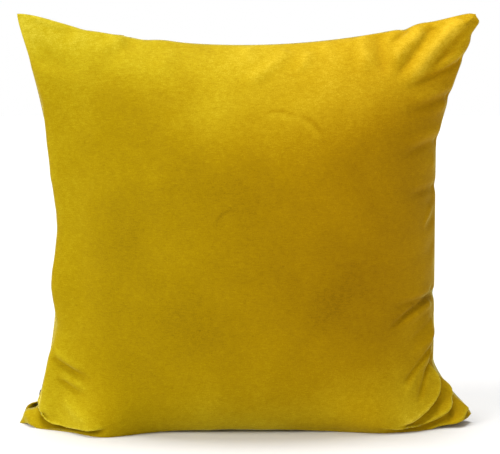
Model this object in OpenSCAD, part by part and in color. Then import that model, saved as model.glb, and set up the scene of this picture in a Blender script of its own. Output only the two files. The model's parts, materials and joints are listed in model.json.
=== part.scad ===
// Square velvet throw pillow: a zipped cover over a sewn insert full of fibre.
// Millimetres. +X runs along the pillow's width, +Z is up, -Y is its front.
// The origin is the middle of the flattened bottom edge that it stands on.

/* [Cover] */
// Width between the corner tips, when filled
cover_w = 434; // [420:1:446]
// Height of the higher, right top corner above the surface it stands on
cover_h = 393; // [387:1:399]
// Thickness through the middle
cover_t = 172; // [150:1:186]
// How far the left and right sides draw in from their tips
side_draw = 38.5; // [36:0.5:41]
// How far the top side dips between its tips
top_dip = 32.5; // [20:0.5:38]
// How far its weight presses the bottom side flat
sink = 17; // [8:1:20]
// Thickness of the velvet with its backing
cloth_t = 1; // [0.8:0.1:1.1]
// Depth of the seam allowance inside
allowance = 10; // [8:0.5:10]

/* [Insert] */
// How far the insert's seam stays inside the cover's seam
insert_inset = 13; // [12.5:0.5:20]
// Thickness of the insert's cloth
insert_cloth_t = 0.5; // [0.3:0.1:0.6]

/* [Zip] */
// Radius of the bowed side that the zip runs along
zip_r = 620; // [600:5:640]
// Height of the bow's middle
zip_mid_z = 172; // [168:1:176]
// Angle of the closed slider round the bow, from its middle
slider_rest_a = -13.4; // [-13.6:0.1:-13.2]
// Length of the chain above the closed slider
chain_len = 298; // [270:1:298]
// Distance from one tooth to the next on one tape
tooth_pitch = 3; // [2.8:0.1:3.2]
// Length of the pull tab from its pivot
tab_len = 24; // [16:1:24]

/* [Hidden] */
$fn = 48;

velvet_colour = [0.72, 0.56, 0.05];
zip_colour = [0.6, 0.48, 0.08];
metal_colour = [0.16, 0.15, 0.14];
insert_colour = [0.93, 0.92, 0.88];

// Half of the gap between two cloth faces that a seam presses together
seam_gap = 0.05;
// Half thickness of the folded cloth beside a seam
edge_t = 2.4;
// Fullness of the edges: a lower number stays thick nearer to the seam
side_fullness = 0.65;
bottom_fullness = 0.45;
// How far the corner tips are rounded off, except the ear below the zip
tip_round = 5;
tip_power = 20;
// How suddenly the bottom side rises to its tips: a higher number stays flat longer
bottom_power = 4;
// Distances from the seam to the lines that the cover's surface is drawn on
cover_steps = [0, 1.5, 4.5, 9, 16, 26, 40, 58, 80, 106, 136, 168, 198];
// The same for the insert, which needs fewer
insert_steps = [0, 2, 7, 18, 40, 80, 130, 198];
half_span = 198;

// The zip's bow is part of a circle, which the slider's path shares
bow_x = side_draw - cover_w / 2 - zip_r;
mm_per_deg = zip_r * PI / 180;
// Below the slider the side kinks outwards into the corner ear
kink_below = 7;
ear_slope = 40;
ear_len = 26;
kink_a = slider_rest_a - kink_below / mm_per_deg;
left_tip_z = cover_h - 3;
tip_a = asin((left_tip_z - zip_mid_z) / zip_r);
left_len = ear_len + (tip_a - kink_a) * mm_per_deg;
ear_dir = [cos(ear_slope), sin(ear_slope)];
bottom_left_tip = bow_point(kink_a, 0) - ear_len * ear_dir;
// Position of the closed slider along the left side, from the bottom tip
slider_s = ear_len + kink_below;

// Right side: a plain waist that flares to both tips
right_x = cover_w / 2 - side_draw - 1.5;
right_tip_z = 8;
top_flare = [41, 262];
bottom_flare = [49, 62];

// Zip opening: half width between the folded edges, and the ends' ramps
zip_gap = 5.5;
ramp_bottom = [3, 6];
ramp_top = [41, 16];
tuck_len = 4.5;
// Folded cloth beside the opening: depth of the fold's nose
nose_depth = 2.1;
// Chain: the tape's outer face below the cover's edge, and its thickness
tape_depth = 2.4;
tape_t = 0.6;
tape_mid = tape_depth + tape_t / 2;
tape_bend = 5.2;
tape_clear = 0.4;
// Teeth: reach over the middle line, back, thickness, half widths at head and back
tooth_reach = 0.7;
tooth_back = 2.25;
tooth_t = 2.2;
tooth_head_w = 0.55;
tooth_back_w = 0.85;
// How far the slider parts the two rows, and how far they part beyond it
row_part = 1.5;
row_splay = 0.8;
tail_len = 17;
// Stitch: length, width, thickness and spacing along the row
stitch_len = 2.6;
stitch_w = 0.5;
stitch_t = 0.3;
stitch_pitch = 4;
thread_w = 0.3;

// Slider: half length, wing thickness, half height of its channel, wall
slider_half = 5;
wing_t = 1;
channel_half = 1.35;
slot_half = 0.5;
// Pull tab's pivot: outwards from the tape's middle, and up from the slider's
pivot_out = 4.2;
pivot_up = 0.6;
pivot_bar_r = 0.6;
tab_half_w = 2.6;
tab_t = 1.2;
window_half_w = 1.4;
window_far = 5.4;
crown_half_w = 1.1;
crown_t = 0.9;
crown_gap = 0.8;

// ---- outline of the filled cover, as [x, z] ----

function mix(a, b, t) = a + (b - a) * t;
function ramp(x) = let (t = min(1, max(0, x))) t * t * (3 - 2 * t);

// Point on the bow at an angle, a depth inside the cover's edge
function bow_point(a, depth) =
    [bow_x + (zip_r + depth) * cos(a), zip_mid_z + (zip_r + depth) * sin(a)];

function left_side(t) = let (s = t * left_len)
    s < ear_len ? bottom_left_tip + s * ear_dir : bow_point(kink_a + (s - ear_len) / mm_per_deg, 0);

function right_side(t) = let (z = mix(right_tip_z, cover_h, t))
    [right_x
        + top_flare[0] * pow(max(0, (z - top_flare[1]) / (cover_h - top_flare[1])), 1.25)
        + bottom_flare[0] * pow(max(0, 1 - z / bottom_flare[1]), 1.4), z];

function top_side(t) = let (p = mix(left_side(1), right_side(1), t))
    [p[0], p[1] - top_dip * (1 - pow(2 * t - 1, 2))];

function bottom_side(t) = let (p = mix(left_side(0), right_side(0), t))
    [p[0], mix(-sink, p[1], pow(abs(2 * t - 1), bottom_power))];

// The four sides blended over a square, u and v from -1 to 1
function blend(u, v) = let (s = (u + 1) / 2, t = (v + 1) / 2)
    mix(left_side(t), right_side(t), s) + mix(bottom_side(s), top_side(s), t)
    - mix(mix(left_side(0), right_side(0), s), mix(left_side(1), right_side(1), s), t);

// The blend with three of its corner tips rounded off
function plan(u, v) = let (p = blend(u, v), d = [0, left_tip_z / 2] - p)
    u < 0 && v < 0 ? p : p + tip_round * pow(abs(u * v), tip_power) * d / norm(d);

function shrink(inset) = 1 - inset / half_span;
function on_rim(u, v) = abs(u) == 1 || abs(v) == 1;

// 1 along the zip's opening, 0 where the seam is sewn shut
function zip_open(v) =
    ramp(((1 + v) * half_span - ramp_bottom[0]) / ramp_bottom[1])
    * ramp(((1 - v) * half_span - ramp_top[0]) / ramp_top[1]);

function opening(u, v) = zip_gap * zip_open(v) * pow(max(0, -u), 6);

function fullness(u, v) =
    pow(max(0, 1 - u * u), mix(side_fullness, bottom_fullness, max(0, -v)))
    * pow(max(0, 1 - v * v), v < 0 ? bottom_fullness : side_fullness);

// Half thickness of the cover
function loft(u, v) =
    opening(u, v) + (on_rim(u, v) ? seam_gap : edge_t + (cover_t / 2 - edge_t) * fullness(u, v));

// Point of the back half, an inset deep inside the cover's outer face
function skin(u, v, inset) = let (k = shrink(inset), p = plan(u * k, v * k))
    [p[0], loft(u, v) - inset, max(p[1], inset)];

// Point of the seam's allowance: an inset from the seam, and its own y
function seam_point(u, v, inset, y) =
    let (k = shrink(inset), p = plan(u, v), q = plan(u * k, v * k))
    [q[0], y, max(p[1], 0) + q[1] - p[1]];

// The same, turned back under the cover's face along the zip's opening. At the ear
// the allowance narrows before it is turned.
function tuck(v) = v < 0 ? ramp((1 + v) * half_span / tuck_len) : zip_open(v);
function folded_point(u, v, inset, y, zip_inset, zip_y) = seam_point(u, v,
    u == -1 ? mix(inset, zip_inset, tuck(v)) : inset,
    u == -1 ? mix(y, zip_y, zip_open(v)) : y);

// ---- meshes ----

function grid_lines(steps) = let (n = len(steps) - 1) concat(
    [for (i = [0:n]) -(1 - steps[i] / half_span)],
    [for (i = [n - 1:-1:0]) 1 - steps[i] / half_span]);

// The rim of an n by n grid, as [i, j], once round
function rim(n) = concat(
    [for (i = [0:n - 1]) [i, 0]], [for (j = [0:n - 1]) [n, j]],
    [for (i = [n:-1:1]) [i, n]], [for (j = [n:-1:1]) [0, j]]);

function grid_faces(n, start) = [for (i = [0:n - 1]) for (j = [0:n - 1])
    let (a = start + i * (n + 1) + j, b = a + n + 1) each [[a, b, b + 1], [a, b + 1, a + 1]]];

function flipped(faces) = [for (f = faces) [f[2], f[1], f[0]]];

function band_faces(one, two) = let (m = len(one)) [for (k = [0:m - 1])
    let (l = (k + 1) % m) each [[one[l], one[k], two[k]], [one[l], two[k], two[l]]]];

// A closed sheet: two n by n grids joined by loops of points round their rims
module sheet(outer, loops, inner, n) {
    size = (n + 1) * (n + 1);
    outer_rim = [for (p = rim(n)) p[0] * (n + 1) + p[1]];
    loop_at = [for (k = [0:1:len(loops) - 1]) [for (i = [0:4 * n - 1]) 2 * size + k * 4 * n + i]];
    chain = concat([outer_rim], loop_at, [[for (i = outer_rim) i + size]]);
    polyhedron(
        points = concat(outer, inner, [for (l = loops) each l]),
        faces = concat(
            [for (k = [0:len(chain) - 2]) each band_faces(chain[k], chain[k + 1])],
            grid_faces(n, 0), flipped(grid_faces(n, size))));
}

// A bar through a list of rings, with flat ends
module sweep(rings) {
    n = len(rings);
    m = len(rings[0]);
    polyhedron(
        points = [for (r = rings) each r],
        faces = concat(
            [for (i = [0:n - 2]) for (j = [0:m - 1]) let (a = i * m + j, b = i * m + (j + 1) % m)
                each [[a, a + m, b + m], [a, b + m, b]]],
            [[for (j = [0:m - 1]) j]], [[for (j = [m - 1:-1:0]) (n - 1) * m + j]]));
}

// Many separate bars from ring to ring, in one group
module bars(pairs) {
    m = len(pairs[0][0]);
    polyhedron(
        points = [for (p = pairs) each concat(p[0], p[1])],
        faces = [for (k = [0:len(pairs) - 1]) let (s = k * 2 * m) each concat(
            [[for (j = [0:m - 1]) s + j], [for (j = [m - 1:-1:0]) s + m + j]],
            [for (j = [0:m - 1]) let (l = (j + 1) % m) [s + j, s + m + j, s + m + l, s + l]])]);
}

module front() {
    mirror([0, 1, 0]) children();
}

// ---- cover ----

cover_lines = grid_lines(cover_steps);
cover_n = len(cover_lines) - 1;
cover_rim = [for (p = rim(cover_n)) [cover_lines[p[0]], cover_lines[p[1]]]];

// Height of the cover's face where its folded allowance ends, along the zip
fold_end = 2.6;
function fold_y(v) = opening(-1, v)
    + edge_t + (cover_t / 2 - edge_t) * fullness(shrink(fold_end), v);

module cover_panel() {
    color(velvet_colour) sheet(
        [for (u = cover_lines) for (v = cover_lines) skin(u, v, 0)],
        [
            [for (p = cover_rim) let (y = loft(p[0], p[1]))
                folded_point(p[0], p[1], nose_depth, seam_gap, nose_depth, y)],
            [for (p = cover_rim)
                folded_point(p[0], p[1], allowance, seam_gap, fold_end + 3.1, fold_y(p[1]) - 1.2)],
            [for (p = cover_rim) folded_point(p[0], p[1], allowance, seam_gap + cloth_t,
                fold_end + 2.7, fold_y(p[1]) - 0.45)]
        ],
        [for (u = cover_lines) for (v = cover_lines) on_rim(u, v)
            ? folded_point(u, v, cloth_t * 1.5, seam_gap + cloth_t,
                nose_depth / 2, loft(u, v) + cloth_t * 1.1)
            : skin(u, v, cloth_t)],
        cover_n);
}

module cover_front() front() cover_panel();
module cover_back() cover_panel();

// The sewn part of the rim: from below the zip, round, and down to its top end
sewn_run = concat(
    [[-1, cover_lines[1]]],
    [for (k = [0:3 * cover_n - 1]) cover_rim[k]],
    [for (j = [cover_n:-1:cover_n - 6]) [-1, cover_lines[j]]]);

// A thread of square section along the sewn run, between two insets and two heights
module seam_bar(inset0, inset1, y0, y1) {
    sweep([for (p = sewn_run) [
        seam_point(p[0], p[1], inset0, y0), seam_point(p[0], p[1], inset0, y1),
        seam_point(p[0], p[1], inset1, y1), seam_point(p[0], p[1], inset1, y0)]]);
}

// The lockstitch, seen as one thread on each side of the allowances
thread_y = seam_gap + cloth_t + 0.02;
module cover_seam_thread() {
    color(velvet_colour) {
        seam_bar(3, 3 + thread_w, thread_y, thread_y + thread_w);
        front() seam_bar(3, 3 + thread_w, thread_y, thread_y + thread_w);
    }
}

// The overlock binds both raw edges: a channel round the allowances' ends
module cover_overlock_thread() {
    out = thread_y + thread_w;
    edge = allowance + 0.05;
    lip = -3;
    shoulder = lip + 0.15;
    color(velvet_colour) sweep([for (p = sewn_run) [
        for (q = [[shoulder, -out], [lip, -thread_y], [0, -thread_y], [0, thread_y],
            [lip, thread_y], [shoulder, out], [thread_w, out], [thread_w, -out]])
        seam_point(p[0], p[1], edge + q[0], q[1])]]);
}

// ---- zip ----

// Direction along the zip, upwards, at a distance above the closed slider
function rail_dir(s) = s < -kink_below ? ear_dir
    : let (a = slider_rest_a + s / mm_per_deg) [-sin(a), cos(a)];

// Point at that distance, a depth inside the cover's edge
function rail(s, depth) = s < -kink_below
    ? bow_point(kink_a, 0) + (s + kink_below) * ear_dir
        + depth * [ear_dir[1], -ear_dir[0]]
    : bow_point(slider_rest_a + s / mm_per_deg, depth);

function rail_point(s, depth, y) = let (p = rail(s, depth)) [p[0], y, p[1]];
function rail_v(s) = 2 * (s + slider_s) / left_len - 1;

// How far a row stands off the middle line: meshed, parted in the slider, splayed below
function row_offset(s) = s > slider_half - 1 ? 0
    : s > -slider_half ? row_part * (slider_half - 1 - s) / (2 * slider_half - 1)
    : row_part + row_splay * min(1, (-slider_half - s) / 9);

// Tape: flat beside the teeth, then turned down under the cover's folded edge
tape_run = concat(
    [for (s = [2 - tail_len:2:slider_half + 1]) s],
    [for (s = [slider_half + 5:10:chain_len + 3]) s]);
module zip_tape() {
    color(zip_colour) sweep([for (s = tape_run) let (
            edge_y = fold_y(rail_v(s)) - 1.8,
            edge_in = fold_end + 3.1 + tape_clear,
            start_y = tooth_back + row_offset(s) + 0.15)
        [
            rail_point(s, tape_depth + tape_t, start_y),
            rail_point(s, tape_depth + tape_t, tape_bend - 0.15),
            rail_point(s, edge_in + tape_t, edge_y - 0.2), rail_point(s, edge_in, edge_y),
            rail_point(s, tape_depth, tape_bend), rail_point(s, tape_depth, start_y)]]);
}

module zip_tape_front() front() zip_tape();
module zip_tape_back() zip_tape();

// One tooth's outline, as [along, y], from its back to its head
tooth_outline = [
    [-tooth_back_w, tooth_back], [-tooth_back_w, 1], [-tooth_head_w, -tooth_reach],
    [tooth_head_w, -tooth_reach], [tooth_back_w, 1], [tooth_back_w, tooth_back]];

function tooth_face(s, depth) = let (d = rail_dir(s), p = rail(s, depth))
    [for (q = tooth_outline)
        [p[0] + q[0] * d[0], q[1] + row_offset(s), p[1] + q[0] * d[1]]];

// A row of moulded teeth, shifted along the chain
module zip_teeth(shift) {
    first = -floor((tail_len - shift) / tooth_pitch);
    last = floor((chain_len - 1 - shift) / tooth_pitch);
    color(zip_colour) bars([for (k = [first:last]) let (s = k * tooth_pitch + shift)
        [tooth_face(s, tape_mid + tooth_t / 2), tooth_face(s, tape_mid - tooth_t / 2)]]);
}

module zip_teeth_front() front() zip_teeth(0);
module zip_teeth_back() zip_teeth(tooth_pitch / 2);

// A block on the chain, from one distance along it to another
module stop_block(s0, s1, y0, y1) {
    half = tooth_t / 2 + 0.1;
    section = [[-half, y0], [half, y0], [half, y1], [-half, y1]];
    bars([[
        [for (q = section) rail_point(s0, tape_mid + q[0], q[1])],
        [for (q = section) rail_point(s1, tape_mid + q[0], q[1])]]]);
}

module zip_top_stops() {
    y0 = row_part + row_splay - 0.4;
    y1 = row_part + row_splay + tooth_back;
    color(metal_colour) {
        stop_block(-tail_len - 1.9, -tail_len - 0.4, y0, y1);
        stop_block(-tail_len - 1.9, -tail_len - 0.4, -y1, -y0);
    }
}

module zip_bottom_stop() {
    color(zip_colour) stop_block(chain_len, chain_len + 2.8, -tooth_back, tooth_back);
}

// Point on the first line beside the cover's fold, on the flat between two grid lines
function edge_line(v) = let (
        j = max([for (i = [0:cover_n - 1]) if (cover_lines[i] <= v) i]),
        a = cover_lines[j], b = cover_lines[j + 1], u = cover_lines[1])
    mix(skin(u, a, 0), skin(u, b, 0), (v - a) / (b - a));

// One stitch: a small bar on that line, just clear of the cloth
stitch_out = [-0.93, 0.37];
function stitch_ring(s, v) = let (p = edge_line(v), d = rail_dir(s), out = stitch_out)
    [for (q = [[0.1, -stitch_w / 2], [0.1, stitch_w / 2],
            [0.1 + stitch_t, stitch_w / 2], [0.1 + stitch_t, -stitch_w / 2]])
        let (along = q[0] * out[0] + q[1] * out[1])
        [p[0] + along * d[1], p[1] + q[0] * out[1] - q[1] * out[0], p[2] - along * d[0]]];

module zip_topstitch() {
    half_v = stitch_len / left_len;
    color(velvet_colour) bars([for (s = [-6:stitch_pitch:chain_len - 4]) let (v = rail_v(s))
        [stitch_ring(s, v - half_v), stitch_ring(s, v + half_v)]]);
}

module zip_topstitch_front() front() zip_topstitch();
module zip_topstitch_back() zip_topstitch();

// ---- slider ----

// The slider's own frame: x inwards from the tape's middle, z up along the zip
module at_slider() {
    translate([bow_x, 0, zip_mid_z]) rotate([0, -slider_rest_a, 0])
        translate([zip_r + tape_mid, 0, 0]) children();
}

// A plate between two depths, its outline drawn as [z, y] for y above zero
module plate(x0, x1, outline) {
    translate([x0, 0, 0]) rotate([0, 90, 0]) linear_extrude(x1 - x0)
        polygon(concat([for (p = outline) [-p[0], p[1]]],
            [for (i = [len(outline) - 1:-1:0]) [-outline[i][0], -outline[i][1]]]));
}

wing = [[-slider_half, 3.9], [-slider_half + 1, 4.7], [-0.5, 4.7], [4.2, 3.5], [slider_half, 2.8]];
channel = [[-slider_half - 1, 4], [-0.5, 4], [4, 2.6], [slider_half + 1, 2.6]];
divider = [[-slider_half, 0.5], [-1.4, 0.05]];

module slider_wall(x0, x1) {
    difference() {
        plate(x0, x1, wing);
        plate(x0 - 1, x1 + 1, channel);
    }
}

module zip_slider_body() {
    outer = channel_half + wing_t;
    lap = 0.1;
    color(metal_colour) at_slider() {
        difference() {
            plate(-outer, -channel_half, wing);
            translate([-outer - 1, 0, pivot_up]) rotate([0, 90, 0]) cylinder(r = 0.5, h = wing_t + 2);
        }
        plate(channel_half, outer, wing);
        slider_wall(-channel_half - lap, -slot_half);
        slider_wall(slot_half, channel_half + lap);
        plate(-channel_half - lap, channel_half + lap, divider);
    }
}

// The crown is a strap over the pull tab's pivot bar, riveted to the outer wing
module zip_slider_crown() {
    foot = channel_half + wing_t;
    roof = pivot_out + crown_gap;
    color(metal_colour) at_slider() rotate([90, 0, 0]) translate([0, 0, -crown_half_w])
        linear_extrude(2 * crown_half_w) difference() {
            polygon([[-foot, -3], [-roof, -3], [-roof - crown_t, -2.2],
                [-roof - crown_t, 2.4], [-roof, 3.2], [-foot, 3.2]]);
            polygon([[-foot + 1, -2.1], [-roof, -2.1], [-roof, 2.3], [-foot + 1, 2.3]]);
        }
}

// A leaf spring on the outer wing, with the pin that drops between two teeth
module zip_lock_spring() {
    base = channel_half + wing_t + 0.02;
    leaf_t = 0.3;
    color("silver") at_slider() {
        plate(-base - leaf_t, -base, [[-1.9, 0.8], [2.1, 0.8]]);
        translate([-base - leaf_t / 2, 0, pivot_up]) rotate([0, 90, 0]) cylinder(r = 0.35, h = 1.25);
    }
}

// The tab at rest lies up along the zip, its window round the crown
module zip_pull_tab() {
    color(metal_colour) at_slider() translate([-pivot_out, 0, pivot_up]) {
        rotate([90, 0, 0]) translate([0, 0, -tab_half_w])
            cylinder(r = pivot_bar_r, h = 2 * tab_half_w);
        difference() {
            plate(-tab_t / 2, tab_t / 2,
                [[0, tab_half_w], [tab_len - 2, tab_half_w], [tab_len, tab_half_w - 1.6]]);
            plate(-tab_t, tab_t, [[-1, window_half_w], [window_far, window_half_w]]);
        }
    }
}

// ---- insert ----

insert_lines = grid_lines(insert_steps);
insert_n = len(insert_lines) - 1;
insert_rim = [for (p = rim(insert_n)) [insert_lines[p[0]], insert_lines[p[1]]]];
// Room between the cover's inside and the insert
insert_gap = 1.6;
// How much further the insert's corners stand back
corner_back = 0.06;
// Above the bottom seam's allowance the insert is notched
notch_h = 11.5;
notch_w = 12;

// Point of the insert's back half, a depth inside its outer face
function stuffed(u, v, depth) = let (
        k = shrink(insert_inset + depth) * (1 - corner_back * u * u * v * v),
        p = plan(u * k, v * k),
        round_off = sqrt(1 - pow(u, 8)) * sqrt(1 - pow(v, 8)),
        y = on_rim(u, v) ? seam_gap
            : seam_gap + round_off * (loft(u * k, v * k) - cloth_t - insert_gap - depth))
    [p[0], y, max(p[1], cloth_t + 0.5 + depth + notch_h * max(0, 1 - y / notch_w))];

module insert_panel() {
    color(insert_colour) sheet(
        [for (u = insert_lines) for (v = insert_lines) stuffed(u, v, 0)], [],
        [for (u = insert_lines) for (v = insert_lines) stuffed(u, v, insert_cloth_t)],
        insert_n);
}

module insert_front() front() insert_panel();
module insert_back() insert_panel();

// The insert's seam thread, along the outside of its edge
module insert_seam_thread() {
    gap = 0.1;
    half = thread_w / 2;
    corners = [[-gap - thread_w, -half], [-gap - thread_w, half], [-gap, half], [-gap, -half]];
    run = [for (k = [1:4 * insert_n - 2]) insert_rim[k]];
    color(insert_colour) sweep([for (p = run)
        [for (q = corners) let (c = stuffed(p[0], p[1], q[0])) [c[0], q[1], c[2]]]]);
}

module filling() {
    depth = insert_cloth_t + 0.4;
    half = [for (u = insert_lines) for (v = insert_lines) stuffed(u, v, depth)];
    color("white") sheet(half, [], [for (p = half) [p[0], -p[1], p[2]]], insert_n);
}

// A blank care label, its root in the right side's seam, between cover and insert
module care_label() {
    over = cloth_t + 0.3;
    under = over + 0.3;
    v0 = cover_lines[10];
    v1 = cover_lines[11];
    color("white") sweep([for (i = [2:6]) let (u = cover_lines[cover_n - i])
        [skin(u, v0, under), skin(u, v1, under), skin(u, v1, over), skin(u, v0, over)]]);
}

cover_front();
cover_back();
cover_seam_thread();
cover_overlock_thread();
zip_tape_front();
zip_tape_back();
zip_teeth_front();
zip_teeth_back();
zip_top_stops();
zip_bottom_stop();
zip_topstitch_front();
zip_topstitch_back();
zip_slider_body();
zip_slider_crown();
zip_lock_spring();
zip_pull_tab();
insert_front();
insert_back();
insert_seam_thread();
filling();
care_label();
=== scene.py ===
"""Visual model of a square velvet throw pillow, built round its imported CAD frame.

The cover's two panels are sheets drawn from the same outline as the CAD cover.
They are inflated as cloth, then given the folds of a pillow that stands on its
edge. The shapes are worked out in millimetres and stored in metres.
"""
import json
import math
from collections import namedtuple

import bpy
import numpy as np
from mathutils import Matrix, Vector


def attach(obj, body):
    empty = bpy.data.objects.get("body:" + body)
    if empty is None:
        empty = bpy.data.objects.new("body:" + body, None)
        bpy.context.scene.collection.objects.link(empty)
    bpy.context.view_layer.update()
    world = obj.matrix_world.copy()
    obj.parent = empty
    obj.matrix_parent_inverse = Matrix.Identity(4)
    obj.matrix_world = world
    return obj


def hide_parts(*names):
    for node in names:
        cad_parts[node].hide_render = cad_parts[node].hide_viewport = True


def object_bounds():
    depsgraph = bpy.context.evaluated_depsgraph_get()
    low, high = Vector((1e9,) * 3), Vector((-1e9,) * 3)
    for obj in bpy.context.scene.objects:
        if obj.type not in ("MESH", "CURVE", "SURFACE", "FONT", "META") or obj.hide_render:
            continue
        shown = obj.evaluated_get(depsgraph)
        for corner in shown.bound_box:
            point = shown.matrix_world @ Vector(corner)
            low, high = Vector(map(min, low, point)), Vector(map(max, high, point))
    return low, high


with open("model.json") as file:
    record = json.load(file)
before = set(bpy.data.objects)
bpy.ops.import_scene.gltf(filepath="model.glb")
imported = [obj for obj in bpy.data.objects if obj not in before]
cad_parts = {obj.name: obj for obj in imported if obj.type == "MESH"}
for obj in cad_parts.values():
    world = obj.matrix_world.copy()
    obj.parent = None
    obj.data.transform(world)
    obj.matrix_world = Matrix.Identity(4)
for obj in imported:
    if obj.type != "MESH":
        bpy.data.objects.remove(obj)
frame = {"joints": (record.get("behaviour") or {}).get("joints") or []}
cad_low, cad_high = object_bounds()

MM = 0.001
BODY = "pillow"

# ---- the cover's outline and thickness, as in the CAD model, in millimetres ----

# A panel is laid out on a square; its seams run at 0 and at twice this
HALF_SPAN = 198.0
THICK = (cad_high[1] - cad_low[1]) / MM
CLOTH_T = 1.0
# The left side is an ear, then an arc round the axis that the zip's slider turns on
travel = next(j for j in frame["joints"] if j["name"] == "zip_slider_travel")
BOW_X = travel["pos_m"][0] / MM
BOW_Z = travel["pos_m"][2] / MM
BOW_R = 620.0
TOP = 393.0
LEFT_TOP = TOP - 3
EAR_LEN = 26.0
EAR_SLOPE = math.radians(40)
ZIP_END_A = math.radians(-13.4)
EAR_TO_ZIP = 7.0
KINK_A = ZIP_END_A - EAR_TO_ZIP / BOW_R
TIP_A = math.asin((LEFT_TOP - BOW_Z) / BOW_R)
LEFT_LEN = EAR_LEN + (TIP_A - KINK_A) * BOW_R
# The right side is upright, and flares out above one height and below another
RIGHT_X = 177.0
RIGHT_TIP_Z = 8.0
FLARE_TOP = 41.0
FLARE_TOP_FROM = 262.0
FLARE_BOTTOM = 49.0
FLARE_BOTTOM_TO = 62.0
TOP_DIP = 32.5
SINK = 17.0
TIP_ROUND = 5.0
# How full the section is, as powers: small is full
FULL_SIDE = 0.65
FULL_BOTTOM = 0.45
EDGE_T = 2.4
SEAM_GAP = 0.05
# The zip's opening: its half width, where it starts above the bottom seam and ends
# below the top one, and how soon each end is full
ZIP_GAP = 5.5
ZIP_FROM = 3.0
ZIP_FROM_FADE = 6.0
ZIP_TO = 41.0
ZIP_TO_FADE = 16.0


def bow_point(a):
    return np.stack([BOW_X + BOW_R * np.cos(a), BOW_Z + BOW_R * np.sin(a)], -1)


EAR_DIR = np.array([math.cos(EAR_SLOPE), math.sin(EAR_SLOPE)])
LEFT_TIP = bow_point(np.array(KINK_A)) - EAR_LEN * EAR_DIR


def mix(a, b, t):
    return a + (b - a) * t


def ramp(x):
    """0 below 0, 1 above 1, and smooth between."""
    t = np.clip(x, 0, 1)
    return t * t * (3 - 2 * t)


def unit(x):
    return x / np.maximum(np.linalg.norm(x, axis=-1, keepdims=True), 1e-9)


def left_side(t):
    s = np.asarray(t, float) * LEFT_LEN
    ear = LEFT_TIP + s[..., None] * EAR_DIR
    bow = bow_point(KINK_A + (s - EAR_LEN) / BOW_R)
    return np.where((s < EAR_LEN)[..., None], ear, bow)


def right_side(t):
    z = mix(RIGHT_TIP_Z, TOP, np.asarray(t, float))
    top = FLARE_TOP * np.maximum(0, (z - FLARE_TOP_FROM) / (TOP - FLARE_TOP_FROM)) ** 1.25
    bottom = FLARE_BOTTOM * np.maximum(0, 1 - z / FLARE_BOTTOM_TO) ** 1.4
    return np.stack([RIGHT_X + top + bottom, z], -1)


def top_side(t):
    t = np.asarray(t, float)
    p = mix(left_side(1.0), right_side(1.0), t[..., None])
    return p - np.stack([0 * t, TOP_DIP * (1 - (2 * t - 1) ** 2)], -1)


def bottom_side(t):
    t = np.asarray(t, float)
    p = mix(left_side(0.0), right_side(0.0), t[..., None])
    z = mix(-SINK, p[..., 1], (2 * t - 1) ** 4)
    return np.stack([p[..., 0], z], -1)


def plan(u, v):
    """The four sides blended over a square; u and v run from -1 to 1."""
    s = ((u + 1) / 2)[..., None]
    t = ((v + 1) / 2)[..., None]
    sides = mix(left_side(t[..., 0]), right_side(t[..., 0]), s)
    ends = mix(bottom_side(s[..., 0]), top_side(s[..., 0]), t)
    low = mix(left_side(0.0), right_side(0.0), s)
    high = mix(left_side(1.0), right_side(1.0), s)
    p = sides + ends - mix(low, high, t)
    inward = unit(np.array([0, LEFT_TOP / 2]) - p)
    ear = (u < 0) & (v < 0)
    blunt = np.where(ear, 0, TIP_ROUND * np.abs(u * v) ** 20)
    return p + blunt[..., None] * inward


def zip_open(v):
    """1 along the zip's opening, 0 where the seam is sewn shut."""
    start = ramp(((1 + v) * HALF_SPAN - ZIP_FROM) / ZIP_FROM_FADE)
    return start * ramp(((1 - v) * HALF_SPAN - ZIP_TO) / ZIP_TO_FADE)


def opening(u, v):
    """How far the zip holds the two halves apart, on each side."""
    return ZIP_GAP * zip_open(v) * np.maximum(0, -u) ** 6


def bulge(u, v):
    """Half thickness of the cover, without the zip's opening."""
    low = np.maximum(0, -v)
    full = np.maximum(0, 1 - u * u) ** mix(FULL_SIDE, FULL_BOTTOM, low)
    full = full * np.maximum(0, 1 - v * v) ** np.where(v < 0, FULL_BOTTOM, FULL_SIDE)
    rim = (np.abs(u) >= 1) | (np.abs(v) >= 1)
    return np.where(rim, SEAM_GAP, EDGE_T + (THICK / 2 - EDGE_T) * full)


def grid(lines):
    """u, v and the points of the back panel's face over a square grid of lines."""
    u, v = np.meshgrid(lines, lines, indexing="ij")
    p = plan(u, v)
    z = np.maximum(p[..., 1], 0)
    return u, v, np.stack([p[..., 0], bulge(u, v), z], -1)


# ---- the filled cover, blown up as cloth ----

SIM_N = 56
SIM_FRAMES = 24
FLAT = 445.0
PRESSURE = 2.5
CAP = 26.0


def closed_faces(back_ids, front_ids):
    """Quads of both panels over two grids of point numbers that share their rim."""
    faces = []
    for ids, flip in ((back_ids, False), (front_ids, True)):
        a, b, c, d = ids[:-1, :-1], ids[1:, :-1], ids[1:, 1:], ids[:-1, 1:]
        quads = np.stack([a, d, c, b] if not flip else [a, b, c, d], -1)
        faces += quads.reshape(-1, 4).tolist()
    return faces


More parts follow.
